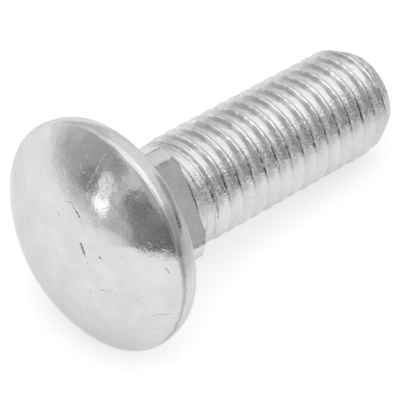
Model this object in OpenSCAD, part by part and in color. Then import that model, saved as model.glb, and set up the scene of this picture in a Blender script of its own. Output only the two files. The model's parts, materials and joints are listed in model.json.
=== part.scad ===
// Carriage bolt: domed cup head, square neck and a fully threaded shank, cold formed
// as one piece of steel. It lies on its side, on the rim of the head and on the last
// full turn of the thread, with the tip towards +X and the floor at Z = 0.
//
// The bolt is drawn upright first: the seat under the head is at Z = 0, the dome
// rises above it and the shank runs down. The shank is the envelope of the thread.

/* [Head] */
// Widest diameter of the head
head_d = 20.3; // [14:0.1:36]
// Height of the head, from its seat to the top of the dome
head_h = 5.65; // [4.2:0.05:10]
// Height of the widest circle above the seat
rim_h = 1.3; // [1:0.05:2.2]
// Radius of the rolled edge between the dome and the rim
rim_r = 0.9; // [0.4:0.05:1.4]
// How much narrower the seat is than the widest circle, each side
rim_draft = 0.4; // [0.2:0.05:0.9]
// Radius of the edge between the rim and the seat
seat_edge_r = 0.2; // [0.1:0.05:0.4]

/* [Square neck] */
// How far the flats stand out from the plain blank
flat_rise = 0.18; // [0.05:0.01:1]
// Length from the seat to the end of the corners
neck_l = 5.35; // [3:0.05:9]
// Depth rounded off each corner, along the diagonal
neck_corner = 0.7; // [0.3:0.05:1.1]
// Radius that the die leaves where the corners end
neck_end_r = 0.6; // [0.2:0.05:0.65]
// Radius of the hollow between the neck and the blank
neck_root_r = 0.6; // [0.2:0.05:0.65]
// Turn of the flats about the bolt's axis, from lying level
neck_turn = 40; // [-45:1:45]

/* [Shank and thread] */
// Length from the seat to the tip
shank_l = 30; // [24:0.5:120]
// Diameter over the crests of the thread
thread_d = 9.85; // [7:0.05:13]
// Height of the rolled crests above the plain blank
crest_rise = 0.3; // [0.15:0.05:0.6]
// Length of plain blank between the neck and the thread
blank_l = 2.05; // [0.8:0.05:8]
// Length over which the first crests rise
runout_l = 1.2; // [0.5:0.1:4]
// Length of the cone at the tip
point_l = 2.05; // [0.8:0.05:3]
// How much the cone narrows the tip, each side
point_drop = 1; // [0.4:0.05:1.6]
// Radius of the edge between the cone and the tip's end
point_edge_r = 0.4; // [0.1:0.05:0.6]

/* [Hidden] */
$fn = 96;

head_r = head_d / 2;
thread_r = thread_d / 2;
blank_r = thread_r - crest_rise;
tip_r = thread_r - point_drop;
neck_w = 2 * (blank_r + flat_rise);
neck_corner_r = neck_w / sqrt(2) - neck_corner;

// Straight lines and the dome run this far inside a round edge, to cross it cleanly
lap = 0.0002;

// The head's half section is in [radius, height]. Centre of the rolled edge:
rim_at = [head_r - rim_r, rim_h];

// The dome is a sphere that reaches head_h and runs smoothly into the rolled edge
dome_rise = head_h - rim_h;
dome_edge = rim_r - lap;
dome_r = (dome_rise ^ 2 + rim_at.x ^ 2 - dome_edge ^ 2) / (2 * (dome_rise - dome_edge));
dome_at = [0, head_h - dome_r];
dome_angle = atan2(rim_at.y - dome_at.y, rim_at.x);

// Centre of the seat's edge, and the angle of the flank that touches both edges
seat_at = [head_r - rim_draft - seat_edge_r, seat_edge_r];
flank = seat_at - rim_at;
flank_angle = atan2(flank.y, flank.x) + acos((rim_r - seat_edge_r) / norm(flank));

// How far below the seat the full thread begins and ends
thread_from = neck_l + blank_l + runout_l;
thread_to = shank_l - point_l;

// Round edge of the tip, between the cone and the end
tip_edge = rounded([thread_r, -thread_to], [tip_r, -shank_l], [0, -shank_l], point_edge_r);

// At rest the floor touches the rolled edge and the last full crest
rest_run = thread_to + rim_h;
rest_drop = rim_at.x - thread_r;
rest_angle = atan2(rest_drop, rest_run) + asin(rim_r / norm([rest_run, rest_drop]));

// The seat's height above the floor, and its place along the middle of the box
seat_z = rim_r + rim_at.x * cos(rest_angle) - rim_h * sin(rest_angle);
dome_x = -dome_at.y * cos(rest_angle) - dome_r;
tip_x = tip_edge[1].x * sin(rest_angle) - tip_edge[1].y * cos(rest_angle) + point_edge_r;
seat_x = -(dome_x + tip_x) / 2;

// A point just inside a circle, from its centre, radius and angle
function on_circle(at, r, angle) = at + (r - lap) * [cos(angle), sin(angle)];

// The round edge that a corner takes: just inside its start, its centre and its end
function rounded(from, corner, to, r) =
    let (
        u = (from - corner) / norm(from - corner),
        v = (to - corner) / norm(to - corner),
        half = acos(u * v) / 2,
        centre = corner + (u + v) / norm(u + v) * r / sin(half),
        start = corner + u * r / tan(half)
    )
    [
        start + (centre - start) * lap / r,
        centre,
        corner + v * r / tan(half),
    ];

// Half section of the head: dome, rolled edge, drafted flank, seat edge and seat
module head_section() {
    shoulder = on_circle(rim_at, rim_r, dome_angle);
    intersection() {
        translate(dome_at) circle(r = dome_r);
        translate([0, shoulder.y]) square([head_r, head_h]);
    }
    translate(rim_at) circle(r = rim_r);
    translate(seat_at) circle(r = seat_edge_r);
    polygon([
        [0, 0],
        [seat_at.x, 0],
        on_circle(seat_at, seat_edge_r, flank_angle),
        on_circle(rim_at, rim_r, flank_angle),
        shoulder,
        [0, shoulder.y],
    ]);
}

module head() {
    rotate_extrude() head_section();
}

// Square neck: its corners are rounded to a cylinder that the die ends in a radius,
// and a hollow runs down from its end to the blank, as wide as the flats allow
module neck() {
    end_at = [neck_corner_r - neck_end_r, neck_end_r - neck_l];
    root_at = [blank_r + neck_root_r, -neck_l - neck_root_r];
    intersection() {
        translate([0, 0, root_at.y])
            linear_extrude(height = rim_h - root_at.y) square(neck_w, center = true);
        rotate_extrude() difference() {
            union() {
                translate(end_at) circle(r = neck_end_r);
                polygon([
                    [0, root_at.y],
                    root_at,
                    [root_at.x, -neck_l],
                    [end_at.x, -neck_l],
                    [neck_corner_r, end_at.y],
                    [neck_corner_r, rim_h],
                    [0, rim_h],
                ]);
            }
            translate(root_at) circle(r = neck_root_r);
        }
    }
}

// Plain blank, rise of the first crests, full thread over its crests, and the tip
module shank() {
    rotate_extrude() {
        translate(tip_edge[1]) circle(r = point_edge_r);
        polygon([
            [0, rim_h],
            [blank_r, rim_h],
            [blank_r, -neck_l - blank_l],
            [thread_r, -thread_from],
            [thread_r, -thread_to],
            tip_edge[0],
            tip_edge[1],
            tip_edge[2],
            [0, -shank_l],
        ]);
    }
}

// Lays the upright bolt down, with the floor at Z = 0 and its box centred on X and Y
module lie_down() {
    translate([seat_x, 0, seat_z]) rotate([0, rest_angle - 90, 0]) children();
}

module bolt() {
    color("silver") lie_down() {
        head();
        rotate(neck_turn) neck();
        shank();
    }
}

bolt();
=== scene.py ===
"""Looks of a zinc-plated carriage bolt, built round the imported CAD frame.

The CAD bolt carries a plain envelope in place of its thread, so one finer mesh stands for it:
the same head and neck, and a rolled thread with its runout, crests and coned tip as geometry.
Sizes are in millimetres until the mesh is made. Along the bolt, s runs from the seat under the
head (0) to the tip, and "turn" is the angle about the axis, from up towards +Y.
"""

import json
import math

import bpy
import numpy as np
from mathutils import Matrix, Vector
from mathutils.noise import noise as noise_at

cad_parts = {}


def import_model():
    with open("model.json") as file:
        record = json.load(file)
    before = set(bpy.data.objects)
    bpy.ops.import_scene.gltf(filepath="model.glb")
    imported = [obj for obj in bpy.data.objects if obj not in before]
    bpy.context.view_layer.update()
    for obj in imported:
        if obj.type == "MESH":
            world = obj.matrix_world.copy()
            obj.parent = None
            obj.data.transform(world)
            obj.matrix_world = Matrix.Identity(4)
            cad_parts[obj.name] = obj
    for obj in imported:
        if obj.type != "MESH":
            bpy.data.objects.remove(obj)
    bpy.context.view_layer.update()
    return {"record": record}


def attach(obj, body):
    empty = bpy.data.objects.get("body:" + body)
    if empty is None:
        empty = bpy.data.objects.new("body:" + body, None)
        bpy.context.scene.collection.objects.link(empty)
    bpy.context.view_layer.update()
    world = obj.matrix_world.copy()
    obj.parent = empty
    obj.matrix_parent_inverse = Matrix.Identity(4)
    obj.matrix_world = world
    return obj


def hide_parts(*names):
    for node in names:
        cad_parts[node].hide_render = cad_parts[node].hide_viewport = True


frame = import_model()

MM = 0.001

# ---------------------------------------------------------------- sizes, as in the CAD model
HEAD_R = 10.15
HEAD_H = 5.65
RIM_H = 1.3
RIM_R = 0.9
RIM_BACK_R = 3.0
SEAT_EDGE_R = 0.3
FLAT_R = 4.805
CORNER_R = 6.095
NECK_L = 5.35
NECK_END_R = 0.6
NECK_ROOT_R = 0.6
NECK_TURN = 40.0
EDGE_TURN = 38.0  # degrees from the middle of a flat of the neck to its edge
BLANK_R = 4.625
THREAD_R = 4.925
SHANK_L = 30.0
THREAD_FROM = 8.6
THREAD_TO = 27.95
TIP_R = 3.925
TIP_EDGE_R = 0.4

# ---------------------------------------------------------------- small roundings, not in the CAD model
SEAT_FILLET = 0.25
CORNER_SOFT = 0.06
NECK_SOFT = 0.03
TIP_SOFT = 0.06

# ---------------------------------------------------------------- the thread, M10 x 1.5
PITCH = 1.5
FLANK = math.tan(math.radians(60))
ROOT_ROUND = 0.6
CREST_HALF = 0.12
CREST_SOFT = 0.35
CREST_CRISP = 0.12
CREST_BLEND = 0.10  # pitches to each side of the crest, in which soft turns to crisp
CREST_R = THREAD_R - 0.02
CREST_LEAN = 0.3
CREST_TURN = 37.8  # the turn and the phase together place the crests along the bolt
CREST_PHASE = -0.10
RUNOUT_FROM = 5.95
GROWS_FROM = RUNOUT_FROM - 0.6
GROWS_TO = THREAD_FROM + 0.4
LIP_SOFT = 0.04
LIP_WIDTH = 0.3
LIPS_MEET = 0.55  # how far the thread has grown when its two lips begin to meet
GROOVES_FADE = (SHANK_L - 1.2, SHANK_L - 0.4)
RIDGES = 3
RIDGE_HIGH = 0.035
RIDGE_LOWEST = -0.2  # of the ridges' wave, which goes from -1 to 1
RIDGES_START = (RUNOUT_FROM - 0.1, RUNOUT_FROM + 0.5)
RIDGES_END = (THREAD_FROM - 1.0, THREAD_FROM + 0.3)

# ---------------------------------------------------------------- wear, painted shade and painted sheen along the crests
# Places, shifts and widths across the thread are in pitches, and depths in mm. Wear, painted shade and painted
# sheen on two opposite sides of the bolt have a turn, and "sides": cosines of the angle from it, where each
# starts and where it is full.
WEAR_FROM = RUNOUT_FROM + 0.3
WEAR_TO = SHANK_L - 0.45
WEAR_FADES = (29.0, 29.5)
WORN_SIDES = (0.955, 0.995)
SMEAR_TURN = -53.0  # the two sides where the seam is smeared towards the head
SMEAR_SHIFT = 0.07
TOOTH_TURN = -56.0  # the two sides where the seam is torn wider
TOOTH_WIDER = 0.045
TOOTH_OPEN = 0.5
FLECK_TURN = -48.0  # the two sides where the plate is flecked
FLECK_SIDES = (0.92, 0.985)
SEAM_AT = 0.085
SEAM_DEEP = 0.065
SEAM_HALF = 0.026
NICK_DEEP = 0.11
NICK_HALF = 0.10
SUNK = 0.010  # how far the worn thread lies below its radius
STRIP_STARTS = (-0.13, -0.09)
STRIP_ENDS = (0.01, 0.05)
RUB_AND_SHEEN_TURN = -5.0  # the two sides where the crests are rubbed bare and the painted sheen on them is strongest
RUB_AND_SHEEN_SIDES = (0.62, 0.85)
RUB_AND_SHEEN_ROUND = 0.12  # and how much rubbing and painted sheen the crests have all round

# ---------------------------------------------------------------- wear on the tip and the neck
TIP_WEAR_STARTS = (28.5, 28.8)
TIP_WEAR_ENDS = (29.7, 29.9)
TIP_TURN = -30.0
TIP_SIDES = (0.75, 0.92)
TIP_ROUND = 0.2  # how much of the tip's wear there is all round
TIP_STRETCH = np.array([0.4, 0.4, 1.0])  # below 1, the specks are longer that way
NECK_WEAR = (0.2, NECK_L - 0.3)
NECK_EDGE_HALF = 0.9  # degrees

# ---------------------------------------------------------------- noise on the mesh
# A size is in mm, and a shift makes each noise its own. The first three hold (strength, size, shift).
SEAM_WANDER = ((0.02, 0.9, 20.0), (0.03, 0.25, 30.0))
UNEVEN = ((0.010, 1.6, 0.0), (0.006, 0.55, 0.0))
STRIP_WANDER = ((0.06, 0.5, 100.0),)
SEAM_OPEN = {"base": 0.65, "strength": 1.8, "size": 0.40, "shift": 60.0, "low": 0.05, "high": 1.4}
NICKS = {"base": -0.12, "strength": 1.0, "size": 0.42, "shift": 40.0}
NICKED_PARTS = {"base": 0.45, "strength": 1.0, "size": 2.5, "shift": 80.0}
CREST_RUB_AND_SHEEN = {"base": 0.70, "strength": 2.4, "size": 0.35, "shift": 120.0, "high": 1.4}
NECK_DIRT = {"base": 0.45, "strength": 1.1, "size": 0.35, "shift": 140.0}
TIP_DIRT = {"base": -0.30, "strength": 3.0, "size": 0.20, "shift": 160.0, "high": 1.1}
TIP_RUB = {"base": -0.30, "strength": 2.6, "size": 0.20, "shift": 180.0}

# ---------------------------------------------------------------- the mesh's rings and columns
COLUMNS = 192
DOME_RINGS = 44
LEVEL_STEP = 0.05
HELIX_TO = SHANK_L - 0.35
TINY = 1e-6
SHARP_FROM = math.radians(42)  # edges that turn by more than this stay sharp
# Places of the rows across one pitch, in columns from its crest: closest together at the seam.
ROWS = (-96, -80, -66, -53, -41, -31, -22, -15, -9, -4, 1, 6, 11, 15, 19, 23, 27, 31, 36, 43, 52, 63, 75, 86)


# ---------------------------------------------------------------- the bolt's place in the frame
def bolt_axes():
    """The seat's centre, and the axes along the bolt to the tip, up, and sideways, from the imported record."""
    thread = next(m for m in frame["record"]["mounts"] if m["name"] == "thread")
    along = Vector(thread["axis"]).normalized()
    middle = (THREAD_FROM + THREAD_TO) / 2
    seat = Vector(thread["pos_m"]) - along * middle * MM
    side = Vector((0, 1, 0))
    return seat, along, side.cross(along) * -1, side


SEAT, ALONG, UP, SIDE = bolt_axes()


# ---------------------------------------------------------------- small tools
def smooth_min(a, b, k):
    """The lower of a and b, with their meeting rounded over a height k."""
    h = np.clip(0.5 + 0.5 * (b - a) / k, 0, 1)
    return b + (a - b) * h - k * h * (1 - h)


def ease(x, low, high):
    """0 below low, 1 above high, and smooth between."""
    t = np.clip((x - low) / (high - low), 0, 1)
    return t * t * (3 - 2 * t)


def both_sides(turn, middle, low, high):
    """1 on the two opposite sides of the bolt that a turn names, and 0 between them."""
    return ease(np.abs(np.cos(np.radians(turn - middle))), low, high)


def arc(centre, r, start, end, steps):
    """Points [radius, s] on an arc, with angles in degrees from outwards towards the tip."""
    t = np.radians(np.linspace(start, end, steps + 1))
    return np.column_stack([centre[0] + r * np.cos(t), centre[1] + r * np.sin(t)])


class Mesh:
    """Points and faces as they are added."""

    def __init__(self):
        self.points = []
        self.faces = []
        self.count = 0

    def ring(self, radius, s, turn):
        """Adds a closed ring of points and gives their numbers."""
        turn = np.asarray(turn, float)
        radius = np.broadcast_to(radius, turn.shape)
        s = np.broadcast_to(s, turn.shape)
        self.points.append(np.column_stack([radius, s, turn]))
        numbers = np.arange(self.count, self.count + len(turn))
        self.count += len(turn)
        return numbers

    def band(self, a, b):
        """Joins two closed rings. The second has as many points as the first, or twice or half as many."""
        n, m = len(a), len(b)
        if n == m:
            for i in range(n):
                j = (i + 1) % n
                self.faces.append((a[i], a[j], b[j], b[i]))
        elif m == 2 * n:
            for i in range(n):
                j = (i + 1) % n
                self.faces.append((a[i], b[2 * i + 1], b[2 * i]))
                self.faces.append((a[i], a[j], b[2 * i + 1]))
                self.faces.append((a[j], b[(2 * i + 2) % m], b[2 * i + 1]))
        else:
            for i in range(m):
                j = (i + 1) % m
                self.faces.append((b[i], a[2 * i], a[2 * i + 1]))
                self.faces.append((b[i], a[2 * i + 1], b[j]))
                self.faces.append((b[j], a[2 * i + 1], a[(2 * i + 2) % n]))

    def fan(self, ring, point, first):
        """Joins a closed ring to one point, which lies before the ring if first is true, or else after it."""
        for i in range(len(ring)):
            j = (i + 1) % len(ring)
            self.faces.append((point, ring[j], ring[i]) if first else (ring[i], ring[j], point))


# ---------------------------------------------------------------- the forms along the bolt
def even_turns(n):
    """Turns of n columns, in the order in which s grows along the thread."""
    return NECK_TURN - np.arange(n) * 360.0 / n


def neck_turns():
    """Turns of the neck's columns, close together at the edges of its flats."""
    edges = [end + side for end in (EDGE_TURN, 90 - EDGE_TURN) for side in (-0.8, 0.8)]
    stops = [0, *edges, 90]
    knots = []
    for start, end, count in zip(stops, stops[1:], (15, 4, 10, 4, 15)):
        knots.append(np.linspace(start, end, count, endpoint=False))
    knots = np.concatenate(knots)
    return NECK_TURN - np.concatenate([knots + 90 * k for k in range(4)])


def from_flat(turn):
    """The angle from the middle of the nearest flat of the neck."""
    return (turn - NECK_TURN + 45) % 90 - 45


def neck_radius(turn):
    """The square neck's outline, with its corners rounded to a cylinder."""
    return smooth_min(FLAT_R / np.cos(np.radians(from_flat(turn))), CORNER_R, CORNER_SOFT)


def turns_of_thread(s, turn):
    """How many pitches a place is along the thread."""
    return s / PITCH + (turn + CREST_TURN) / 360.0 - CREST_PHASE


def wrapped(q):
    """A number of pitches brought into one pitch, from -0.5 to 0.5."""
    return (q + 0.5) % 1.0 - 0.5


def crest_offset(s, turn):
    """How far a point is from the crest, in pitches: 0 on a crest, 0.5 or -0.5 in a root."""
    return wrapped(turns_of_thread(s, turn))


def thread_form(q, grown):
    """Radius of the thread q pitches from its crest, where "grown" goes from 0, plain blank, to 1.

    Roots are round. Crests are soft on the head's side and crisper on the tip's, as rolling leaves them.
    """
    q = wrapped(q + CREST_LEAN * (1 - np.cos(2 * np.pi * q)) / (2 * np.pi))
    half = PITCH / 2
    x = np.abs(q) * PITCH
    soft = CREST_SOFT + (CREST_CRISP - CREST_SOFT) * ease(q, -CREST_BLEND, CREST_BLEND)
    soft = LIP_SOFT + (soft - LIP_SOFT) * grown
    sharp = THREAD_R + (CREST_HALF - half) * FLANK
    rise = (BLANK_R - sharp - ROOT_ROUND) * (1 - grown)
    lip = BLANK_R + (THREAD_R - BLANK_R) * grown
    reach = half - x
    hollow = sharp + 2 * ROOT_ROUND - np.sqrt(np.maximum(ROOT_ROUND**2 - reach**2, 0))
    on_root = reach < ROOT_ROUND * math.sin(math.radians(60))
    groove = np.where(on_root, hollow, sharp + reach * FLANK) + rise
    edge = half - (lip - sharp - rise) / FLANK
    dip = (lip - BLANK_R) * (1 - ease(grown, LIPS_MEET, 1.0))
    top = lip - dip * ease((edge - x) / LIP_WIDTH, 0.0, 1.0)
    return smooth_min(groove, top, soft)


CREST_SETTLE = CREST_R - thread_form(np.linspace(-0.5, 0.5, 721), 1.0).max()


def thread_radius(s, turn):
    """Radius of the thread. It grows out of the blank as two lips that meet in the first full crest."""
    grown = ease(s, GROWS_FROM, GROWS_TO)
    return thread_form(crest_offset(s, turn), grown) + CREST_SETTLE * grown


def tip_radius(s):
    """The cone at the tip."""
    return THREAD_R - (s - THREAD_TO) * (THREAD_R - TIP_R) / (SHANK_L - THREAD_TO)


def shank_radius(s, turn):
    """Thread and tip together. The thread's grooves fade out just before the tip's edge."""
    cone = tip_radius(s)
    groove = thread_radius(s, turn)
    groove = groove + np.maximum(cone - groove, 0) * ease(s, *GROOVES_FADE)
    return smooth_min(groove, cone, TIP_SOFT)


def dome_radius():
    """Radius of the dome's sphere, which meets the rolled rim without a break."""
    rise = HEAD_H - RIM_H
    return (rise**2 + (HEAD_R - RIM_R) ** 2 - RIM_R**2) / (2 * (rise - RIM_R))


# ---------------------------------------------------------------- the mesh
def add_rings(mesh, before, places, turn):
    """Level rings at places (radius, s), each joined to the one before. Gives the last."""
    for radius, s in places:
        ring = mesh.ring(radius, s, turn)
        mesh.band(before, ring)
        before = ring
    return before


def add_head(mesh):
    """Dome, rolled edge, drafted flank and seat. Gives the ring where the neck begins."""
    dome_r = dome_radius()
    dome = (0.0, dome_r - HEAD_H)
    rim = (HEAD_R - RIM_R, -RIM_H)
    meet = math.degrees(math.atan2(rim[1] - dome[1], rim[0]))
    back = (HEAD_R - RIM_BACK_R, -RIM_H)
    flank = math.asin((RIM_H - SEAT_EDGE_R) / (RIM_BACK_R - SEAT_EDGE_R))
    seat = (back[0] + (RIM_BACK_R - SEAT_EDGE_R) * math.cos(flank), -SEAT_EDGE_R)
    flank = math.degrees(flank)

    top = mesh.ring([0.0], -HEAD_H, [0.0])
    before = None
    for r, s in arc(dome, dome_r, -90, meet, DOME_RINGS)[1:]:
        columns = next((n for limit, n in ((1.2, 24), (2.4, 48), (4.8, 96)) if r < limit), COLUMNS)
        ring = mesh.ring(r, s, even_turns(columns))
        if before is None:
            mesh.fan(ring, top[0], True)
        else:
            mesh.band(before, ring)
        before = ring
    even = even_turns(COLUMNS)
    before = add_rings(mesh, before, arc(rim, RIM_R, meet, 0, 12)[1:], even)
    before = add_rings(mesh, before, arc(back, RIM_BACK_R, 0, flank, 8)[1:], even)
    before = add_rings(mesh, before, arc(seat, SEAT_EDGE_R, flank, 90, 5)[1:], even)
    return add_seat(mesh, before, seat[0])


def add_seat(mesh, before, edge):
    """The flat seat, where the rings turn from round to square, and the small fillet at the neck."""
    neck = neck_turns()
    even = even_turns(COLUMNS)
    inner = neck_radius(neck) + SEAT_FILLET
    for part in np.linspace(0, 1, 8)[1:]:
        part = part**0.8
        ring = mesh.ring(edge * (1 - part) + inner * part, 0.0, even + (neck - even) * part)
        mesh.band(before, ring)
        before = ring
    fillet = [math.radians(a) for a in (30, 60, 90)]
    places = [(inner - SEAT_FILLET * math.sin(a), SEAT_FILLET * (1 - math.cos(a))) for a in fillet]
    return add_rings(mesh, before, places, neck)


def add_neck(mesh, before):
    """Square neck, its rounded end and the hollow down to the blank."""
    neck = neck_turns()
    even = even_turns(COLUMNS)
    end = (CORNER_R - NECK_END_R, NECK_L - NECK_END_R)
    root = (BLANK_R + NECK_ROOT_R, NECK_L + NECK_ROOT_R)
    beyond = CORNER_R + 1  # no limit, so that the square outline stays as it is
    limits = [(beyond, s) for s in np.linspace(0.4, end[1] - 0.25, 20)]
    limits += [tuple(p) for p in arc(end, NECK_END_R, 0, 84, 8)]
    limits += [tuple(p) for p in arc(root, NECK_ROOT_R, 264, 180, 15)]
    for limit, s in limits:
        blend = float(ease(s, NECK_L + 0.15, NECK_L + NECK_ROOT_R))
        turn = neck + (even - neck) * blend
        ring = mesh.ring(smooth_min(neck_radius(turn), limit, NECK_SOFT), s, turn)
        mesh.band(before, ring)
        before = ring
    return before


def add_shank(mesh, before):
    """Runout on level rings, then rows that follow the helix between two level rings, then the tip."""
    even = even_turns(COLUMNS)
    levels = np.arange(RUNOUT_FROM + LEVEL_STEP, THREAD_FROM + 0.5, LEVEL_STEP)
    before = add_rings(mesh, before, [(shank_radius(s, even), s) for s in levels], even)
    columns = helix_columns(mesh, levels[-1] + LEVEL_STEP)
    mesh.band(before, np.array([column[0][1] for column in columns]))
    for left, right in zip(columns, columns[1:]):
        zip_columns(mesh, left, right)
    last = [((key[0] + 1, key[1]) if isinstance(key, tuple) else key, i) for key, i in columns[-1]]
    zip_columns(mesh, last, columns[0])
    add_tip(mesh, np.array([column[-1][1] for column in columns]))


def helix_columns(mesh, start):
    """Columns of points down the full thread: each is a list of (row, number), and rows follow the helix."""
    first = math.floor(turns_of_thread(start, NECK_TURN) * COLUMNS) / COLUMNS
    shift = start - first * PITCH
    pitches = range(int(first) - 2, int(first) + 20)
    columns = []
    for j, turn in enumerate(even_turns(COLUMNS)):
        rows = [("start", start)]
        for n in pitches:
            for k, x in enumerate(ROWS):
                s = shift + (n + (x + j) / COLUMNS) * PITCH
                if start + TINY < s < HELIX_TO - TINY:
                    rows.append(((n, k), s))
        rows.append(("stop", HELIX_TO))
        s = np.array([row[1] for row in rows])
        turns = np.full(len(s), turn)
        numbers = mesh.ring(shank_radius(s, turns), s, turns)
        columns.append([(row[0], number) for row, number in zip(rows, numbers)])
    return columns


def zip_columns(mesh, left, right):
    """Joins two columns of points, with quads between rows that both have and triangles for the others."""
    here = {key: i for i, (key, _) in enumerate(right)}
    shared = [(i, here[key]) for i, (key, _) in enumerate(left) if key in here]
    for (i0, k0), (i1, k1) in zip(shared, shared[1:]):
        a = [left[i][1] for i in range(i0, i1 + 1)]
        b = [right[k][1] for k in range(k0, k1 + 1)]
        if len(a) == 2 and len(b) == 2:
            mesh.faces.append((a[0], b[0], b[1], a[1]))
            continue
        while len(a) > 1 or len(b) > 1:
            if len(b) > 1 and (len(a) == 1 or len(b) >= len(a)):
                mesh.faces.append((a[0], b[0], b[1]))
                b = b[1:]
            else:
                mesh.faces.append((a[0], b[0], a[1]))
                a = a[1:]


def add_tip(mesh, before):
    """The tip's rounded edge and its flat end."""
    lean = math.degrees(math.atan2(THREAD_R - TIP_R, SHANK_L - THREAD_TO))
    half = math.radians((90 - lean) / 2)
    centre = (TIP_R - TIP_EDGE_R * math.tan(half), SHANK_L - TIP_EDGE_R)
    edge = [(r, s) for r, s in arc(centre, TIP_EDGE_R, lean, 90, 7) if s > HELIX_TO + 0.02]
    before = add_rings(mesh, before, edge, even_turns(COLUMNS))
    for r, n in ((3.2, COLUMNS), (2.6, 96), (1.9, 96), (1.3, 48), (0.8, 24), (0.4, 24)):
        before = add_rings(mesh, before, [(r, SHANK_L)], even_turns(n))
    middle = mesh.ring([0.0], SHANK_L, [0.0])
    mesh.fan(before, middle[0], False)


# ---------------------------------------------------------------- relief and wear on the mesh
def ridges(s, turn):
    """Fine ridges that the dies leave where the thread begins, three to a pitch."""
    wave = np.cos(2 * np.pi * RIDGES * crest_offset(s, turn))
    level = ease(s, *RIDGES_START) * (1 - ease(s, *RIDGES_END))
    return RIDGE_HIGH * (np.maximum(wave, RIDGE_LOWEST) ** 2 * np.sign(wave) - 0.5) * level


def rough_field(points, size):
    """Smooth noise from -1 to 1 at each point, with features of the given size in mm."""
    return np.array([noise_at(Vector(p) / size) for p in points])


def layers(points, table):
    """Noise added up from the layers of a table of (strength, size, shift)."""
    return sum(strength * rough_field(points + shift, size) for strength, size, shift in table)


def spots(points, base, strength, size, shift, low=0.0, high=1.0, more=0.0):
    """Patchy values: a base, and more of it where that is given, plus noise, held between low and high."""
    return np.clip(base + more + strength * rough_field(points + shift, size), low, high)


def crest_wear(points, s, turn):
    """Unevenness, nicks and an open seam along the crests, with painted shade in the seam and rubbing with a
    painted sheen beside it.
    """
    level = ease(s, WEAR_FROM, THREAD_FROM) * (1 - ease(s, *WEAR_FADES))
    across = crest_offset(s, turn)
    smear = both_sides(turn, SMEAR_TURN, *WORN_SIDES)
    tooth = both_sides(turn, TOOTH_TURN, *WORN_SIDES)
    line = SEAM_AT - SMEAR_SHIFT * smear + layers(points, SEAM_WANDER)
    seam = np.exp(-((wrapped(across - line) / (SEAM_HALF + TOOTH_WIDER * tooth)) ** 2))
    # The seam also darkens the plate as painted shade in its groove; this goes into the stored darkening with
    # the real dirt.
    seam *= spots(points, more=TOOTH_OPEN * tooth, **SEAM_OPEN)
    nicks = spots(points, **NICKS) * spots(points, **NICKED_PARTS) * np.exp(-((across / NICK_HALF) ** 2))
    change = layers(points, UNEVEN) - SUNK - NICK_DEEP * nicks - SEAM_DEEP * seam
    across = across + layers(points, STRIP_WANDER)
    # A bright strip beside each seam: rubbed plate with a painted sheen that stands for the crest's highlight,
    # strongest on two opposite sides.
    strip = ease(across, *STRIP_STARTS) * (1 - ease(across, *STRIP_ENDS))
    rub_and_sheen_level = RUB_AND_SHEEN_ROUND + (1 - RUB_AND_SHEEN_ROUND) * both_sides(turn, RUB_AND_SHEEN_TURN, *RUB_AND_SHEEN_SIDES)
    rub_and_sheen = strip * rub_and_sheen_level * spots(points, **CREST_RUB_AND_SHEEN)
    return change * level, seam * level, rub_and_sheen * level


def tip_wear(points, s, turn):
    """Dirty and rubbed specks on the tip's cone, most of them on two opposite sides."""
    level = TIP_ROUND + (1 - TIP_ROUND) * both_sides(turn, TIP_TURN, *TIP_SIDES)
    level = level * ease(s, *TIP_WEAR_STARTS) * (1 - ease(s, *TIP_WEAR_ENDS))
    points = points * TIP_STRETCH
    return level * spots(points, **TIP_DIRT), level * spots(points, **TIP_RUB)


def neck_wear(points, turn):
    """Dirt along the edges of the neck's flats."""
    edge = np.exp(-(((np.abs(from_flat(turn)) - EDGE_TURN) / NECK_EDGE_HALF) ** 2))
    return edge * spots(points, **NECK_DIRT)


def wear(radius, s, turn):
    """How far each point is off its true radius, how dark it is from dirt and painted shade, and how bright
    from rubbing and painted sheen.
    """
    a = np.radians(turn)
    places = np.column_stack([radius * np.cos(a), radius * np.sin(a), s])
    change, dirt_and_shade, rub_and_sheen = np.zeros((3, len(s)))
    on = (s > WEAR_FROM) & (s < WEAR_TO)
    change[on], dirt_and_shade[on], rub_and_sheen[on] = crest_wear(places[on], s[on], turn[on])
    on = (s > TIP_WEAR_STARTS[0]) & (s < TIP_WEAR_ENDS[1])
    tip_dirt, tip_rub = tip_wear(places[on], s[on], turn[on])
    dirt_and_shade[on] = np.maximum(dirt_and_shade[on], tip_dirt)
    rub_and_sheen[on] = np.maximum(rub_and_sheen[on], tip_rub)
    on = (s > NECK_WEAR[0]) & (s < NECK_WEAR[1]) & (radius < CORNER_R + 0.01)
    dirt_and_shade[on] = neck_wear(places[on], turn[on])
    return change, dirt_and_shade, rub_and_sheen


def build_bolt():
    """The bolt as one mesh, with its dirt and painted shade, and its rubbing and painted sheen, kept on the
    points.
    """
    mesh = Mesh()
    neck = add_head(mesh)
    blank = add_neck(mesh, neck)
    add_shank(mesh, blank)
    radius, s, turn = np.vstack(mesh.points).T
    change, dirt_and_shade, rub_and_sheen = wear(radius, s, turn)
    radius = radius + change + ridges(s, turn)
    a = np.radians(turn)[:, None]
    out = np.cos(a) * np.array(UP) + np.sin(a) * np.array(SIDE)
    co = np.array(SEAT) + (s[:, None] * np.array(ALONG) + radius[:, None] * out) * MM
    data = bpy.data.meshes.new("carriage_bolt")
    data.from_pydata(co.tolist(), [], [tuple(int(i) for i in f) for f in mesh.faces])
    data.validate()
    data.update()
    for name, values in (("dirt_and_shade", dirt_and_shade), ("rub_and_sheen", rub_and_sheen)):
        data.attributes.new(name, "FLOAT", "POINT").data.foreach_set("value", values.astype(np.float32))
    data.shade_smooth()
    data.set_sharp_from_angle(angle=SHARP_FROM)
    obj = bpy.data.objects.new("carriage_bolt", data)
    bpy.context.scene.collection.objects.link(obj)
    return obj


# ---------------------------------------------------------------- node helpers
def link(tree, a, b):
    tree.links.new(a, b)


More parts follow.
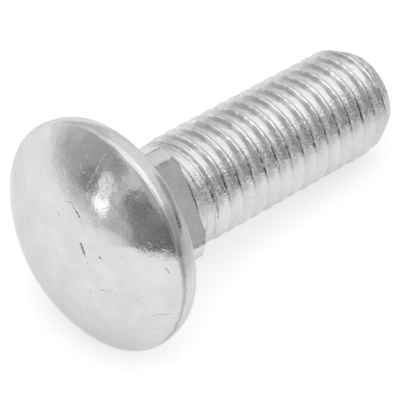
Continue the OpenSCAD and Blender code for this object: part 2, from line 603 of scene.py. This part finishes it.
def math_node(tree, op, a, b=None, c=None, clamp=False):
    n = tree.nodes.new("ShaderNodeMath")
    n.operation = op
    n.use_clamp = clamp
    for i, v in enumerate((a, b, c)):
        if v is None:
            continue
        if isinstance(v, (int, float)):
            n.inputs[i].default_value = v
        else:
            link(tree, v, n.inputs[i])
    return n.outputs[0]


def vector_node(tree, op, a, b=None):
    n = tree.nodes.new("ShaderNodeVectorMath")
    n.operation = op
    for i, v in enumerate((a, b)):
        if v is None:
            continue
        if isinstance(v, (tuple, list, Vector)):
            n.inputs[i].default_value = v
        else:
            link(tree, v, n.inputs[i])
    return n.outputs["Value"] if op in ("DOT_PRODUCT", "LENGTH", "DISTANCE") else n.outputs["Vector"]


def noise(tree, where, scale, detail=2.0, rough=0.5):
    n = tree.nodes.new("ShaderNodeTexNoise")
    n.inputs["Scale"].default_value = scale
    n.inputs["Detail"].default_value = detail
    n.inputs["Roughness"].default_value = rough
    link(tree, where, n.inputs["Vector"])
    return n.outputs["Fac"]


def noise_colour(tree, where, scale):
    n = tree.nodes.new("ShaderNodeTexNoise")
    n.inputs["Scale"].default_value = scale
    n.inputs["Detail"].default_value = 1.0
    link(tree, where, n.inputs["Vector"])
    return vector_node(tree, "SUBTRACT", n.outputs["Color"], (0.5, 0.5, 0.5))


def stored(tree, name):
    """A number kept on the mesh's points."""
    n = tree.nodes.new("ShaderNodeAttribute")
    n.attribute_name = name
    return n.outputs["Fac"]


def ramp(tree, value, low, high, to_low=0.0, to_high=1.0):
    """A smooth step between two values, from low to high."""
    n = tree.nodes.new("ShaderNodeMapRange")
    n.interpolation_type = "SMOOTHSTEP"
    n.inputs["From Min"].default_value = low
    n.inputs["From Max"].default_value = high
    n.inputs["To Min"].default_value = to_low
    n.inputs["To Max"].default_value = to_high
    link(tree, value, n.inputs["Value"])
    return n.outputs["Result"]


def scaled(tree, value, factor):
    """A vector times a number."""
    node = vector_node(tree, "SCALE", value).node
    if isinstance(factor, float):
        node.inputs["Scale"].default_value = factor
    else:
        link(tree, factor, node.inputs["Scale"])
    return node.outputs["Vector"]


def times(tree, *values):
    """Values multiplied together."""
    total = values[0]
    for value in values[1:]:
        total = math_node(tree, "MULTIPLY", total, value)
    return total


def highest(tree, *values):
    """The highest of some values."""
    total = values[0]
    for value in values[1:]:
        total = math_node(tree, "MAXIMUM", total, value)
    return total


def distance_from(tree, value, middle):
    """How far a value is from a number, to either side."""
    return math_node(tree, "ABSOLUTE", math_node(tree, "SUBTRACT", value, middle))


def added(tree, total, *parts):
    """A total with parts added to it, each given as (pattern, how much of it)."""
    for pattern, amount in parts:
        total = math_node(tree, "MULTIPLY_ADD", pattern, amount, total)
    return total


def vector(tree, x, y):
    """A vector of two values and 0."""
    n = tree.nodes.new("ShaderNodeCombineXYZ")
    link(tree, x, n.inputs["X"])
    link(tree, y, n.inputs["Y"])
    return n.outputs["Vector"]


# ---------------------------------------------------------------- marks on the dome
# The places of the marks were picked, and a program turned them into turns and radii.
MARKS = (  # dark handling marks on the dome: from and to as (turn, radius), half width and strength
    ((-36, 3.1), (-52, 3.0), 0.13, 1.0),
    ((-52, 3.0), (-68, 3.0), 0.06, 0.5),
    ((-58, 4.3), (-60, 4.4), 0.13, 0.7),
    ((10, 4.9), (3, 5.1), 0.04, 0.7),
    ((3, 5.1), (-4, 4.8), 0.04, 0.8),
    ((-4, 4.8), (-12, 4.6), 0.07, 1.0),
    ((18, 3.9), (15, 3.6), 0.05, 0.6),
    ((8, 6.2), (0, 5.9), 0.04, 0.6),
    ((75, 6.4), (76, 6.4), 0.06, 0.5),
    ((-108, 0.8), (-120, 0.9), 0.05, 0.7),
    ((-134, 1.4), (-139, 1.7), 0.04, 0.6),
    ((-112, 3.6), (-114, 3.7), 0.06, 0.7),
    ((162, 2.8), (163, 2.9), 0.05, 0.5),
    ((-101, 4.2), (-97, 5.0), 0.09, 0.3),
    ((-97, 5.0), (-96, 5.6), 0.08, 0.3),
    ((-102, 8.5), (-99, 8.9), 0.04, 0.6),
    ((-99, 8.9), (-97, 9.6), 0.04, 0.8),
    ((-53, 7.5), (-55, 7.8), 0.06, 0.7),
    ((-69, 9.1), (-72, 9.3), 0.04, 0.6),
    ((150, 5.2), (158, 6.1), 0.04, 0.4),
    ((-170, 7.1), (-164, 7.6), 0.03, 0.5),
)

SCUFFS = (  # bright, rubbed marks on the dome, given in the same way
    ((12, 8.8), (9, 9.2), 0.04, 1.0),
    ((7, 8.7), (5, 8.6), 0.05, 1.0),
    ((8, 7.9), (6, 7.7), 0.06, 0.9),
    ((2, 7.6), (4, 7.5), 0.06, 0.9),
    ((6, 7.2), (4, 7.3), 0.05, 0.7),
    ((-3, 9.4), (-3, 8.8), 0.05, 1.0),
    ((-3, 8.6), (-4, 8.0), 0.06, 1.0),
    ((-7, 8.6), (-7, 8.9), 0.04, 0.7),
    ((31, 7.8), (30, 7.6), 0.06, 0.7),
    ((29, 7.2), (27, 7.3), 0.06, 0.7),
    ((22, 7.3), (21, 7.2), 0.06, 0.7),
    ((-18, 9.1), (-25, 9.2), 0.15, 0.7),
    ((-21, 9.3), (-27, 9.4), 0.09, 0.9),
    ((-54, 8.4), (-56, 8.6), 0.06, 0.8),
    ((-59, 9.1), (-60, 9.4), 0.06, 0.8),
    ((-62, 9.6), (-63, 9.7), 0.06, 0.8),
    ((-58, 8.1), (-59, 8.2), 0.05, 0.6),
)


def around(turn):
    """The direction out from the axis at a turn."""
    return UP * math.cos(math.radians(turn)) + SIDE * math.sin(math.radians(turn))


def on_dome(turn, radius):
    """A point on the dome, in mm."""
    dome_r = dome_radius()
    s = dome_r - HEAD_H - math.sqrt(dome_r**2 - radius**2)
    return SEAT / MM + ALONG * s + around(turn) * radius


def scratch(tree, where, start, end, half_width):
    """1 on the line from start to end, and 0 a half width away from it."""
    run = end - start
    off = vector_node(tree, "SUBTRACT", where, start)
    part = vector_node(tree, "DOT_PRODUCT", off, run)
    part = math_node(tree, "DIVIDE", part, run.length_squared, clamp=True)
    gap = vector_node(tree, "DISTANCE", off, scaled(tree, run, part))
    return ramp(tree, gap, half_width * 0.3, half_width, 1.0, 0.0)


def drawn(tree, where, table):
    """The marks of a table drawn together, each as strong as the table says."""
    marks = []
    for start, end, half_width, strength in table:
        mark = scratch(tree, where, on_dome(*start), on_dome(*end), half_width)
        marks.append(times(tree, mark, strength))
    return highest(tree, *marks)


# ---------------------------------------------------------------- zinc
# Places along the bolt, in mm. A pair is where something starts and where it is full, or fades and is gone.
RIM_LINES = (-1.9, -1.2)
NECK_LINES = (0.0, 0.2)
THREAD_LINES = (NECK_L - 0.2, NECK_L + 0.8)
DOME_ENDS = (-2.2, -1.2)
SHANK_STARTS = (NECK_L - 0.2, NECK_L + 1.0)
# Painted shade: a darker band on one side of the rim, standing for a dark reflection there.
RIM_SHADE_STARTS = (-2.3, -1.9)
RIM_SHADE_ENDS = (-1.3, -0.8)
CREASE_AT = -1.62
HOLLOW_AT = NECK_L + 0.10

NOISE_MIDDLE = 0.5
LINES_ROUND = 2.6  # a larger number gives the thread closer lines
MARKS_WAVER = 0.20
# A fold round the rim: sunk in the relief and darkened with painted shade.
CREASE_WANDERS = 0.8
CREASE_EDGES = (0.02, 0.25)  # in mm from its middle
CREASE_SIDE = (0.75, 0.95)  # parts of the head's radius, towards -Y
CREASE_SHADE = 0.45
# A dark line of painted shade in the hollow where the neck ends.
HOLLOW_WANDERS = 0.5
HOLLOW_EDGES = (0.04, 0.13)  # in mm from its middle
HOLLOW_SHADE = 0.9
# Where the painted shade on the rim lies round the bolt.
RIM_SHADE_SIDE = (0.965, 0.992)  # cosines of the angle from SMEAR_TURN
RIM_SHADE_DARKENS = 0.30
DIRT_AND_SHADE_DARKEN = 0.7


def facing(tree, off, radius, turn):
    """The cosine of the angle round the axis between a point and a turn."""
    return math_node(tree, "DIVIDE", vector_node(tree, "DOT_PRODUCT", off, around(turn)), radius)


def streaks(tree, mm, off, along, radius):
    """Fine lines as forming leaves them: round the rim, down the flats of the neck, and along the thread."""
    ring = vector(tree, times(tree, along, 6.0), times(tree, radius, 6.0))
    ring = vector_node(tree, "ADD", ring, scaled(tree, mm, 0.35))
    ring = noise(tree, ring, scale=1.0, detail=2.0, rough=0.6)

    down = vector_node(tree, "ADD", scaled(tree, off, 5.0), scaled(tree, mm, 0.5))
    down = noise(tree, down, scale=1.0, detail=2.0, rough=0.6)

    sideways = vector_node(tree, "DOT_PRODUCT", off, SIDE)
    upwards = vector_node(tree, "DOT_PRODUCT", off, UP)
    turn = math_node(tree, "ARCTAN2", sideways, upwards)
    angle = math_node(tree, "MULTIPLY_ADD", along, 2 * math.pi / PITCH, turn)
    cosine = math_node(tree, "COSINE", angle)
    sine = math_node(tree, "SINE", angle)
    helix = vector(tree, times(tree, cosine, LINES_ROUND), times(tree, sine, LINES_ROUND))
    helix = vector_node(tree, "ADD", helix, scaled(tree, mm, 0.6))
    helix = noise(tree, helix, scale=1.0, detail=3.0, rough=0.65)

    mix = times(tree, math_node(tree, "SUBTRACT", ring, NOISE_MIDDLE), ramp(tree, along, *RIM_LINES))
    for value, part in ((down, NECK_LINES), (helix, THREAD_LINES)):
        change = math_node(tree, "SUBTRACT", math_node(tree, "SUBTRACT", value, NOISE_MIDDLE), mix)
        mix = added(tree, mix, (ramp(tree, along, *part), change))
    return mix


class Plate:
    """Where a shaded point is on the bolt, and the patterns that tone, dirt and painted shade, gloss and relief
    share.
    """

    def __init__(self, tree):
        mm = scaled(tree, tree.nodes.new("ShaderNodeTexCoord").outputs["Object"], 1 / MM)
        along = vector_node(tree, "DOT_PRODUCT", mm, ALONG)
        along = math_node(tree, "SUBTRACT", along, SEAT.dot(ALONG) / MM)
        from_seat = vector_node(tree, "SUBTRACT", mm, SEAT / MM)
        off = vector_node(tree, "SUBTRACT", from_seat, scaled(tree, ALONG, along))
        radius = vector_node(tree, "LENGTH", off)
        self.mm = mm
        self.along = along
        self.dome = ramp(tree, along, *DOME_ENDS, 1.0, 0.0)
        self.shank = ramp(tree, along, *SHANK_STARTS)
        self.blotch = noise(tree, mm, scale=0.9, detail=4.0, rough=0.6)
        self.grain = noise(tree, mm, scale=5.0, detail=3.0, rough=0.6)
        self.lines = streaks(tree, mm, off, along, radius)
        wavy = vector_node(tree, "ADD", mm, scaled(tree, noise_colour(tree, mm, 3.5), MARKS_WAVER))
        self.marks = drawn(tree, wavy, MARKS)
        self.scuffs = drawn(tree, wavy, SCUFFS)
        self.crease = self.crease_of_rim(tree, off)
        flecked = math_node(tree, "ABSOLUTE", facing(tree, off, radius, FLECK_TURN))
        self.smear = times(tree, ramp(tree, flecked, *FLECK_SIDES), self.shank)
        rim_shade_side = ramp(tree, facing(tree, off, radius, SMEAR_TURN), *RIM_SHADE_SIDE)
        ends = ramp(tree, along, *RIM_SHADE_ENDS, 1.0, 0.0)
        # Painted shade on one side of the rim band, between the dome and the seat.
        self.rim_shade = times(tree, rim_shade_side, ramp(tree, along, *RIM_SHADE_STARTS), ends)

    def crease_of_rim(self, tree, off):
        """A fold that wanders round the rim, on the side of the head that faces -Y. It is sunk in the relief
        and darkened with painted shade.
        """
        wander = math_node(tree, "SUBTRACT", self.blotch, NOISE_MIDDLE)
        place = math_node(tree, "MULTIPLY_ADD", wander, CREASE_WANDERS, self.along)
        crease = ramp(tree, distance_from(tree, place, CREASE_AT), *CREASE_EDGES, 1.0, 0.0)
        side = math_node(tree, "DIVIDE", vector_node(tree, "DOT_PRODUCT", off, SIDE), -HEAD_R)
        return times(tree, crease, ramp(tree, side, *CREASE_SIDE))


def clean_tone(tree, plate):
    """How bright the clean plate is: clouded, flecked along the shank, and brighter where rubbed, with a
    painted sheen along the crests.
    """
    cloud = noise(tree, plate.mm, scale=0.35, detail=3.0)
    stain = noise(tree, plate.mm, scale=0.22, detail=2.0, rough=0.5)
    stain = ramp(tree, distance_from(tree, stain, NOISE_MIDDLE), 0.002, 0.010, 1.0, 0.0)
    fleck = ramp(tree, noise(tree, plate.mm, scale=5.5, detail=1.0), 0.44, 0.60, -0.14, 0.22)
    fleck = times(tree, fleck, ramp(tree, plate.blotch, 0.40, 0.60, 0.2, 1.0))
    tone = ramp(tree, cloud, 0.3, 0.7, 0.620, 0.670)
    tone = math_node(tree, "ADD", tone, ramp(tree, plate.blotch, 0.3, 0.7, -0.015, 0.015))
    tone = math_node(tree, "ADD", tone, ramp(tree, plate.grain, 0.35, 0.65, -0.015, 0.015))
    # The rubbed crests add brightness, part real rubbing and part a painted sheen for their highlight.
    shine = (plate.lines, 0.10), (stain, -0.030), (plate.scuffs, 0.15), (stored(tree, "rub_and_sheen"), 0.22)
    return added(tree, tone, *shine, (plate.smear, fleck))


def dirt_and_shade_on_plate(tree, plate):
    """How much the plate is darkened: dirt in the marks, on the tip and along the neck's edges, and painted
    shade in the seam, the hollow behind the neck, the fold and along one side of the rim.
    """
    wander = math_node(tree, "SUBTRACT", plate.grain, NOISE_MIDDLE)
    hollow = math_node(tree, "MULTIPLY_ADD", wander, HOLLOW_WANDERS, plate.along)
    hollow = ramp(tree, distance_from(tree, hollow, HOLLOW_AT), *HOLLOW_EDGES, HOLLOW_SHADE, 0.0)
    # Dirt from the marks and the mesh, with painted shade in the seam, the hollow and the fold.
    dirt_and_shade = highest(tree, stored(tree, "dirt_and_shade"), hollow, plate.marks, times(tree, plate.crease, CREASE_SHADE))
    return added(tree, dirt_and_shade, (plate.rim_shade, RIM_SHADE_DARKENS))


def roughness(tree, plate):
    """Smooth plate, rougher in patches and where it is scuffed."""
    rough = ramp(tree, plate.blotch, 0.3, 0.7, 0.09, 0.13)
    rough = math_node(tree, "ADD", rough, ramp(tree, plate.grain, 0.35, 0.65, 0.0, 0.05))
    return added(tree, rough, (plate.scuffs, 0.35))


def relief(tree, plate):
    """Height of the surface in mm: swells on the dome, ripples and specks all over, lines, pits and marks."""
    swell = times(tree, noise(tree, plate.mm, scale=0.30, detail=2.0), plate.dome)
    ripple = noise(tree, plate.mm, scale=1.3, detail=2.0, rough=0.5)
    patchy = highest(tree, ramp(tree, plate.blotch, 0.42, 0.62, 0.25, 1.0), plate.shank)
    speck = times(tree, noise(tree, plate.mm, scale=6.0, detail=2.0, rough=0.6), patchy)
    grit = times(tree, noise(tree, plate.mm, scale=5.0, detail=1.0, rough=0.5), patchy)
    rasp = ramp(tree, plate.smear, 0.0, 1.0, 0.008, 0.022)
    pits = ramp(tree, noise(tree, plate.mm, scale=3.4, detail=2.0, rough=0.5), 0.63, 0.74)
    raised = (ripple, 0.007), (speck, 0.002), (grit, rasp), (plate.lines, 0.006)
    sunk = (pits, -0.003), (plate.crease, -0.012), (plate.marks, -0.02)
    return added(tree, times(tree, swell, 0.10), *raised, *sunk)


def zinc():
    """Bright zinc plate, greyed by dirt and by painted shade."""
    m = bpy.data.materials.new("zinc")
    m.use_nodes = True
    t = m.node_tree
    t.nodes.clear()
    out = t.nodes.new("ShaderNodeOutputMaterial")
    shader = t.nodes.new("ShaderNodeBsdfPrincipled")
    link(t, shader.outputs["BSDF"], out.inputs["Surface"])
    shader.inputs["Metallic"].default_value = 1.0
    shader.inputs["Specular Tint"].default_value = (0.82, 0.82, 0.82, 1)
    plate = Plate(t)

    darker = math_node(t, "MULTIPLY", dirt_and_shade_on_plate(t, plate), DIRT_AND_SHADE_DARKEN, clamp=True)
    tone = times(t, clean_tone(t, plate), math_node(t, "SUBTRACT", 1.0, darker))
    colour = t.nodes.new("ShaderNodeCombineColor")
    for name in ("Red", "Green", "Blue"):
        link(t, tone, colour.inputs[name])
    link(t, colour.outputs[0], shader.inputs["Base Color"])
    link(t, roughness(t, plate), shader.inputs["Roughness"])

    bump = t.nodes.new("ShaderNodeBump")
    bump.inputs["Strength"].default_value = 1.0
    bump.inputs["Distance"].default_value = MM
    link(t, relief(t, plate), bump.inputs["Height"])
    link(t, bump.outputs["Normal"], shader.inputs["Normal"])
    return m


# ---------------------------------------------------------------- stage
# Heights on the studio's wall are the upward part of a direction of length 1, as from and to.
FLOOR_EDGE = (-0.02, 0.08)
WALL_FOOT = (0.02, 0.14)
CEILING = (0.61, 0.91)
FLOOR_LIGHT = 0.90
FOOT_LIGHT = 0.96
WALL_LIGHT = 0.67
CEILING_LIGHT = 0.82  # added to the wall's

# Lights and darker screens round the bolt: azimuth, elevation, inner and outer half width, and light.
# A fitting program gave most of this table. It was then rounded, and five rows were set or changed.
PATCHES = (
    (95, -5, 12, 31, 1.00),
    (-65, 15, 15, 24, 0.55),
    (-125, 30, 5, 32, 0.40),
    (10, 25, 9, 38, 1.00),
    (-55, 60, 4, 20, 1.30),
    (-30, 0, 13, 17, 0.20),
    (135, 40, 26, 33, 0.50),
    (-175, 55, 18, 27, 0.80),
    (150, 20, 3, 10, 0.30),
    (-170, 25, 4, 16, 0.25),
    (-150, 5, 4, 27, 0.20),
    (160, 25, 2, 6, 1.35),
    (165, 15, 2, 7, 1.90),
    (5, 50, 3, 9, 1.00),
    (95, 60, 5, 16, 0.85),
    (-95, 0, 6, 20, 0.40),
    (-35, 35, 4, 13, 0.80),
    (70, 35, 8, 22, 0.85),
    (-95, 60, 3, 13, 0.75),
    (180, 85, 9, 20, 1.25),
    (40, 65, 7, 18, 1.20),
    (115, 25, 6, 15, 0.65),
    (-15, 10, 9, 18, 0.45),
    (160, 40, 4, 10, 0.40),
    (-150, 50, 6, 26, 0.55),
)

FLOOR_HALF = 3.0  # in metres
FLOOR_DIMS = (0.004, 0.045)  # from and to, in metres from the middle of the frame
FLOOR_DIMS_TOWARDS = -45  # azimuth
FLOOR_DIMMEST = 0.65
FLOOR_TONE = 0.50
FLOOR_GLOW = 0.60

OVERHEAD_FROM = (225, 70)  # azimuth and elevation

CAMERA_AT = Vector((-122.883, -121.746, 188.925)) * MM
CAMERA_LOOK = (45.1823, -46.9002)  # azimuth and elevation
SENSOR = 36.0
LENS = 270.09


def direction(azimuth, elevation):
    """The direction of length 1 at an azimuth and an elevation in degrees."""
    a, e = math.radians(azimuth), math.radians(elevation)
    return Vector((math.cos(a) * math.cos(e), math.sin(a) * math.cos(e), math.sin(e)))


def world():
    """A soft studio round the bolt: a wall between a pale floor and a ceiling, with the patches over it."""
    w = bpy.data.worlds.new("studio")
    w.use_nodes = True
    t = w.node_tree
    t.nodes.clear()
    out = t.nodes.new("ShaderNodeOutputWorld")
    back = t.nodes.new("ShaderNodeBackground")
    link(t, back.outputs[0], out.inputs["Surface"])
    look = vector_node(t, "NORMALIZE", t.nodes.new("ShaderNodeTexCoord").outputs["Generated"])
    split = t.nodes.new("ShaderNodeSeparateXYZ")
    link(t, look, split.inputs[0])
    height = split.outputs["Z"]

    light = ramp(t, height, *WALL_FOOT, FOOT_LIGHT, WALL_LIGHT)
    light = math_node(t, "ADD", light, ramp(t, height, *CEILING, 0.0, CEILING_LIGHT))
    for azimuth, elevation, inner, outer, value in PATCHES:
        near = vector_node(t, "DOT_PRODUCT", look, direction(azimuth, elevation))
        mask = ramp(t, near, math.cos(math.radians(outer)), math.cos(math.radians(inner)))
        light = added(t, light, (mask, math_node(t, "SUBTRACT", value, light)))
    low = ramp(t, height, *FLOOR_EDGE, 1.0, 0.0)
    light = added(t, light, (low, math_node(t, "SUBTRACT", FLOOR_LIGHT, light)))
    back.inputs["Color"].default_value = (1, 1, 1, 1)
    link(t, light, back.inputs["Strength"])
    bpy.context.scene.world = w


def floor():
    """A pale floor with a glow of its own, and painted shade that dims it on the side that is to the camera's
    right.
    """
    data = bpy.data.meshes.new("floor")
    corners = [(x * FLOOR_HALF, y * FLOOR_HALF, 0) for x, y in ((-1, -1), (1, -1), (1, 1), (-1, 1))]
    data.from_pydata(corners, [], [(0, 1, 2, 3)])
    obj = bpy.data.objects.new("floor", data)
    bpy.context.scene.collection.objects.link(obj)
    m = bpy.data.materials.new("pale_floor")
    m.use_nodes = True
    t = m.node_tree
    shader = t.nodes["Principled BSDF"]
    place = t.nodes.new("ShaderNodeTexCoord").outputs["Object"]
    away = vector_node(t, "DOT_PRODUCT", place, direction(FLOOR_DIMS_TOWARDS, 0))
    # Painted shade: the floor's tone and glow dim towards the camera's right.
    lit = ramp(t, away, *FLOOR_DIMS, 1.0, FLOOR_DIMMEST)
    link(t, times(t, lit, FLOOR_TONE), shader.inputs["Base Color"])
    link(t, times(t, lit, FLOOR_GLOW), shader.inputs["Emission Strength"])
    shader.inputs["Roughness"].default_value = 0.9
    shader.inputs["Specular IOR Level"].default_value = 0.1
    shader.inputs["Emission Color"].default_value = (1, 1, 1, 1)
    data.materials.append(m)
    return obj


def overhead():
    """A wide soft light from above. It lights the floor, and the metal shows the studio's patches instead."""
    data = bpy.data.lights.new("overhead", "SUN")
    data.energy = 0.75
    data.angle = math.radians(40)
    obj = bpy.data.objects.new("overhead", data)
    obj.visible_glossy = False
    obj.rotation_euler = direction(*OVERHEAD_FROM).to_track_quat("Z", "Y").to_euler()
    bpy.context.scene.collection.objects.link(obj)


def camera():
    """A long lens that looks down on the bolt, with a level horizon."""
    data = bpy.data.cameras.new("camera")
    data.sensor_width = SENSOR
    data.lens = LENS
    data.clip_start = 0.01
    data.clip_end = 20.0
    obj = bpy.data.objects.new("camera", data)
    bpy.context.scene.collection.objects.link(obj)
    turn = direction(*CAMERA_LOOK).to_track_quat("-Z", "Y").to_matrix()
    obj.matrix_world = Matrix.Translation(CAMERA_AT) @ turn.to_4x4()
    bpy.context.scene.camera = obj


bolt = build_bolt()
bolt.data.materials.append(zinc())
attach(bolt, "root")
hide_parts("bolt")
floor()
world()
overhead()
camera()
bpy.context.scene.view_settings.view_transform = "Standard"
